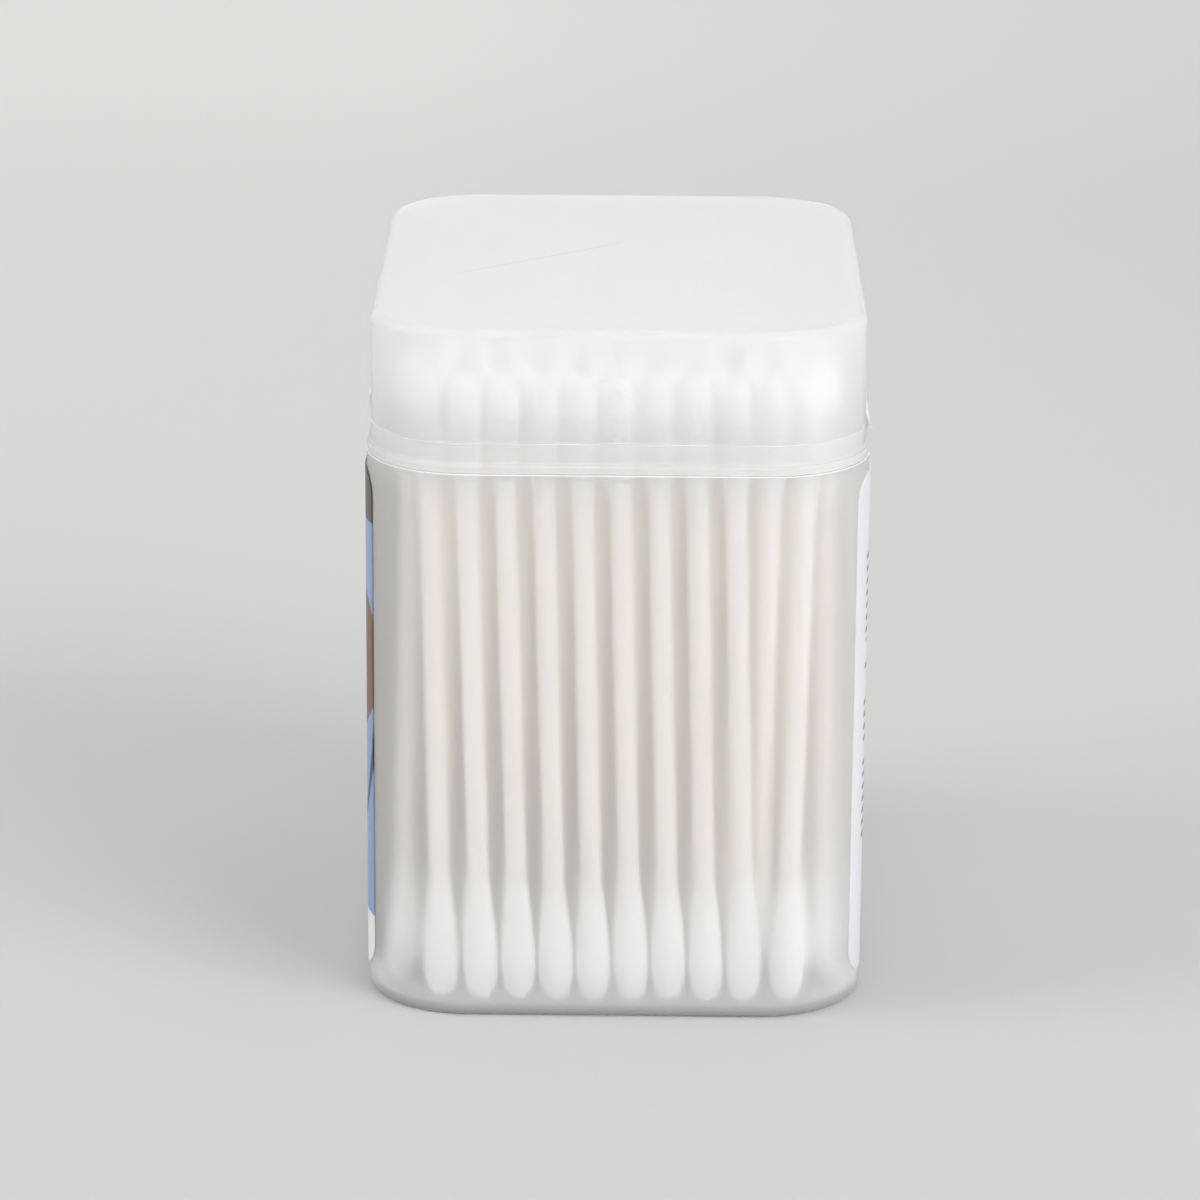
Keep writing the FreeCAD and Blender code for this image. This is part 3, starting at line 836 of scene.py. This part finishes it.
def finish_film(tree, shader, output, printed, backing, shine_through):
    """A satin film: a share of the light that falls on either face comes out of the other."""
    colour = bare_inside(tree, printed, backing)
    through = add(tree, "ShaderNodeBsdfTranslucent", {"Color": colour})
    film = add(tree, "ShaderNodeMixShader", {0: shine_through, 1: shader.outputs["BSDF"],
                                             2: through.outputs["BSDF"]})
    tree.links.new(film.outputs["Shader"], output.inputs["Surface"])
    shader.inputs["Roughness"].default_value = 0.42
    shader.inputs["Coat Weight"].default_value = 0.15
    shader.inputs["Coat Roughness"].default_value = 0.3
    tree.links.new(colour, shader.inputs["Base Color"])


# %% Front label
FIELD_MIDDLE, FIELD_RADIUS = (14.0, -8.0), 36.0
DISC_MIDDLE, DISC_RADIUS = (-22.0, 40.2), 9.2
ARC_MIDDLE, ARC_RADII, ARC_TOP = (-6.0, 34.0), (23.4, 24.3), 33.5
FOOT_TOP = 9.5
BAND_FOOT = 56.5


def front_label_print():
    """Fields of colour, each where its mask is 1: round ones by the distance from their middle."""
    material, tree, shader, output = new_material("printed_film_front")
    across, up = film_place(tree)
    ground = add(tree, "ShaderNodeRGB")
    ground.outputs[0].default_value = linear("#8CA2C9")
    colour = ground.outputs[0]
    lower = above(tree, distance_from(tree, across, up, FIELD_MIDDLE), FIELD_RADIUS)
    colour = paint(tree, colour, opposite(tree, lower), "#B9C8E2")
    colour = paint(tree, colour, opposite(tree, above(tree, up, FOOT_TOP)), "#F2F2F1")
    colour = paint(tree, colour, above(tree, up, BAND_FOOT), "#4A4A4F")
    disc = above(tree, distance_from(tree, across, up, DISC_MIDDLE), DISC_RADIUS)
    colour = paint(tree, colour, opposite(tree, disc), "#7A5647")
    arc = between(tree, distance_from(tree, across, up, ARC_MIDDLE), *ARC_RADII)
    arc = both(tree, arc, opposite(tree, above(tree, up, ARC_TOP)))
    colour = paint(tree, colour, arc, "#34405E")
    finish_film(tree, shader, output, colour, "#E6E1D8", 0.05)
    return material


# %% Back label
BAR_STEP = 1.45
BAR_SHARE = 0.45
BAR_EDGE = -27.4
BAR_BLOCKS = [(42.5, 53.5, -3.0), (39.2, 40.4, -18.0), (30.2, 36.0, 8.0), (18.8, 28.2, -8.0)]


def back_label_print():
    """Rows of bars: where the fraction of height / step is below a share, within each block."""
    material, tree, shader, output = new_material("printed_film_back")
    across, up = film_place(tree)
    ground = add(tree, "ShaderNodeRGB")
    ground.outputs[0].default_value = linear("#FAFAFE")
    line = add(tree, "ShaderNodeMath", {0: up, 1: BAR_STEP}, operation="DIVIDE")
    step = add(tree, "ShaderNodeMath", {0: line.outputs[0]}, operation="FRACT")
    rows = opposite(tree, above(tree, step.outputs[0], BAR_SHARE))
    colour = ground.outputs[0]
    for low, high, end in BAR_BLOCKS:
        block = both(tree, between(tree, up, low, high), between(tree, across, BAR_EDGE, end))
        colour = paint(tree, colour, both(tree, block, rows), "#A9ACB5")
    finish_film(tree, shader, output, colour, "#FFFFFF", 0.45)
    return material


dress(front_label_print(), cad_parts["label_front"])
dress(back_label_print(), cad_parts["label_back"])

# %% [markdown]
# One faint scuff crosses the lid's roof. It is colour only: a mask along a line that is turned
# level, over the full white of the plastic.

# %% A hairline on the lid
LINE_START = np.array([-18.6, -7.8])
LINE_END = np.array([0.0, 8.5])
LINE_HALF = 0.05


def add_hairline(material):
    """Turns and moves the place so that the line lies along X with its middle at 0, and masks
    what lies within its length and a few hundredths of a millimetre of it."""
    tree = material.node_tree
    run = LINE_END - LINE_START
    turn = -math.atan2(run[1], run[0])
    middle = Matrix.Rotation(turn, 2) @ Vector((LINE_START + LINE_END) / 2 * MM)
    place = add(tree, "ShaderNodeTexCoord").outputs["Object"]
    level = add(tree, "ShaderNodeMapping", {"Vector": place, "Rotation": (0, 0, turn),
                                            "Location": (-middle.x, -middle.y, 0)})
    parts = add(tree, "ShaderNodeSeparateXYZ", {"Vector": level.outputs[0]})
    along, across = [add(tree, "ShaderNodeMath", {0: parts.outputs[axis], 1: 1 / MM},
                         operation="MULTIPLY").outputs[0] for axis in "XY"]
    reach = np.linalg.norm(run) / 2
    mark = both(tree, between(tree, along, -reach, reach),
                between(tree, across, -LINE_HALF, LINE_HALF))
    colour = paint(tree, linear("#FFFFFF"), mark, "#D9D9DB")
    tree.links.new(colour, tree.nodes["Principled BSDF"].inputs["Base Color"])


add_hairline(lid.data.materials[0])

# %% [markdown]
# ## Floor, light and background
#
# A pale sweep of paper is floor and backdrop in one, so no horizon shows. Two large soft lamps
# stand left and right, as on a product table, a weaker one hangs above, and the world fills in
# from everywhere. Together they light a white surface to about white, so that colours render as
# they are written.

# %% Paper sweep
SWEEP_WIDTH = 3.0
SWEEP_FRONT = -1.2
SWEEP_BEND = 0.55
SWEEP_BACK = 0.95
SWEEP_TOP = 1.6


def paper_sweep():
    """A section of floor, quarter circle and wall, carried along X: on the bend a point is at
    (back - bend + bend sin a, bend - bend cos a)."""
    quarter = np.linspace(0, math.pi / 2, 25)
    bend = [(SWEEP_BACK - SWEEP_BEND + SWEEP_BEND * math.sin(a), SWEEP_BEND * (1 - math.cos(a)))
            for a in quarter]
    section = np.array([(SWEEP_FRONT, 0.0), *bend, (SWEEP_BACK, SWEEP_TOP)])
    sides = np.array([-SWEEP_WIDTH / 2, SWEEP_WIDTH / 2])
    points = np.array([[(x, y, z) for x in sides] for y, z in section]).reshape(-1, 3)
    rows = np.arange(len(section) - 1)
    faces = np.stack([2 * rows, 2 * rows + 1, 2 * rows + 3, 2 * rows + 2], axis=1).tolist()
    sweep = new_piece("paper_sweep", points, faces, None)
    return sweep


def background_paper():
    """Matt paper with painted light falloff: lighter towards the back and a little darker towards
    the right.
    """
    material, tree, shader, output = new_material("matt_background_paper")
    place = add(tree, "ShaderNodeTexCoord").outputs["Object"]
    parts = add(tree, "ShaderNodeSeparateXYZ", {"Vector": place})
    behind = add(tree, "ShaderNodeMapRange", {"Value": parts.outputs["Y"], "From Min": -0.1,
                                              "From Max": 0.5})
    aside = add(tree, "ShaderNodeMapRange", {"Value": parts.outputs["X"], "From Min": -0.05,
                                             "From Max": 0.12, "To Max": 0.4})
    # Painted light: the paper is painted lighter towards the back and darker towards the right.
    colour = paint(tree, linear("#C7C7C6"), behind.outputs["Result"], "#DFDFDD")
    colour = paint(tree, colour, aside.outputs["Result"], "#C5C5C5")
    tree.links.new(colour, shader.inputs["Base Color"])
    shader.inputs["Roughness"].default_value = 0.95
    shader.inputs["Specular IOR Level"].default_value = 0.1
    return material


dress(background_paper(), paper_sweep())

# %% Lamps and world
def soft_lamp(name, place, side, share):
    """A square soft box aimed at the object. A surface that faces it there gets the share of full
    light, at which white looks white: power = share * pi^2 * distance^2."""
    aim = Vector((0, 0, 0.04))
    way = aim - Vector(place)
    lamp = bpy.data.lights.new(name, "AREA")
    lamp.shape = "SQUARE"
    lamp.size = side
    lamp.energy = share * math.pi ** 2 * way.length_squared
    holder = bpy.data.objects.new(name, lamp)
    holder.location = place
    holder.rotation_euler = way.to_track_quat("-Z", "Y").to_euler()
    bpy.context.scene.collection.objects.link(holder)
    print(f"{name}: {lamp.energy:.2f} W")


soft_lamp("soft_box_left", (-0.85, -0.15, 0.50), 0.50, 0.31)
soft_lamp("soft_box_right", (0.70, -0.62, 0.50), 0.70, 0.54)
soft_lamp("soft_box_above", (0.0, 0.05, 1.30), 0.90, 0.15)

WORLD_SHARE = 0.68
world = bpy.data.worlds.new("studio_air")
world.use_nodes = True
air = world.node_tree.nodes["Background"]
air.inputs["Color"].default_value = linear("#FDFDFD")
air.inputs["Strength"].default_value = WORLD_SHARE
bpy.context.scene.world = world
bpy.context.scene.view_settings.view_transform = "Standard"

# %% [markdown]
# Inside a milky tub full of white swabs most of the light arrives after many bounces, through two
# walls and from paper to paper. Cut off early, the pack goes grey and the gaps lose their peach
# warmth, so far more bounces are followed than the usual four diffuse ones.

# %% Light paths
paths = bpy.context.scene.cycles
paths.max_bounces = 48
paths.diffuse_bounces = 22
paths.glossy_bounces = 12
paths.transmission_bounces = 36
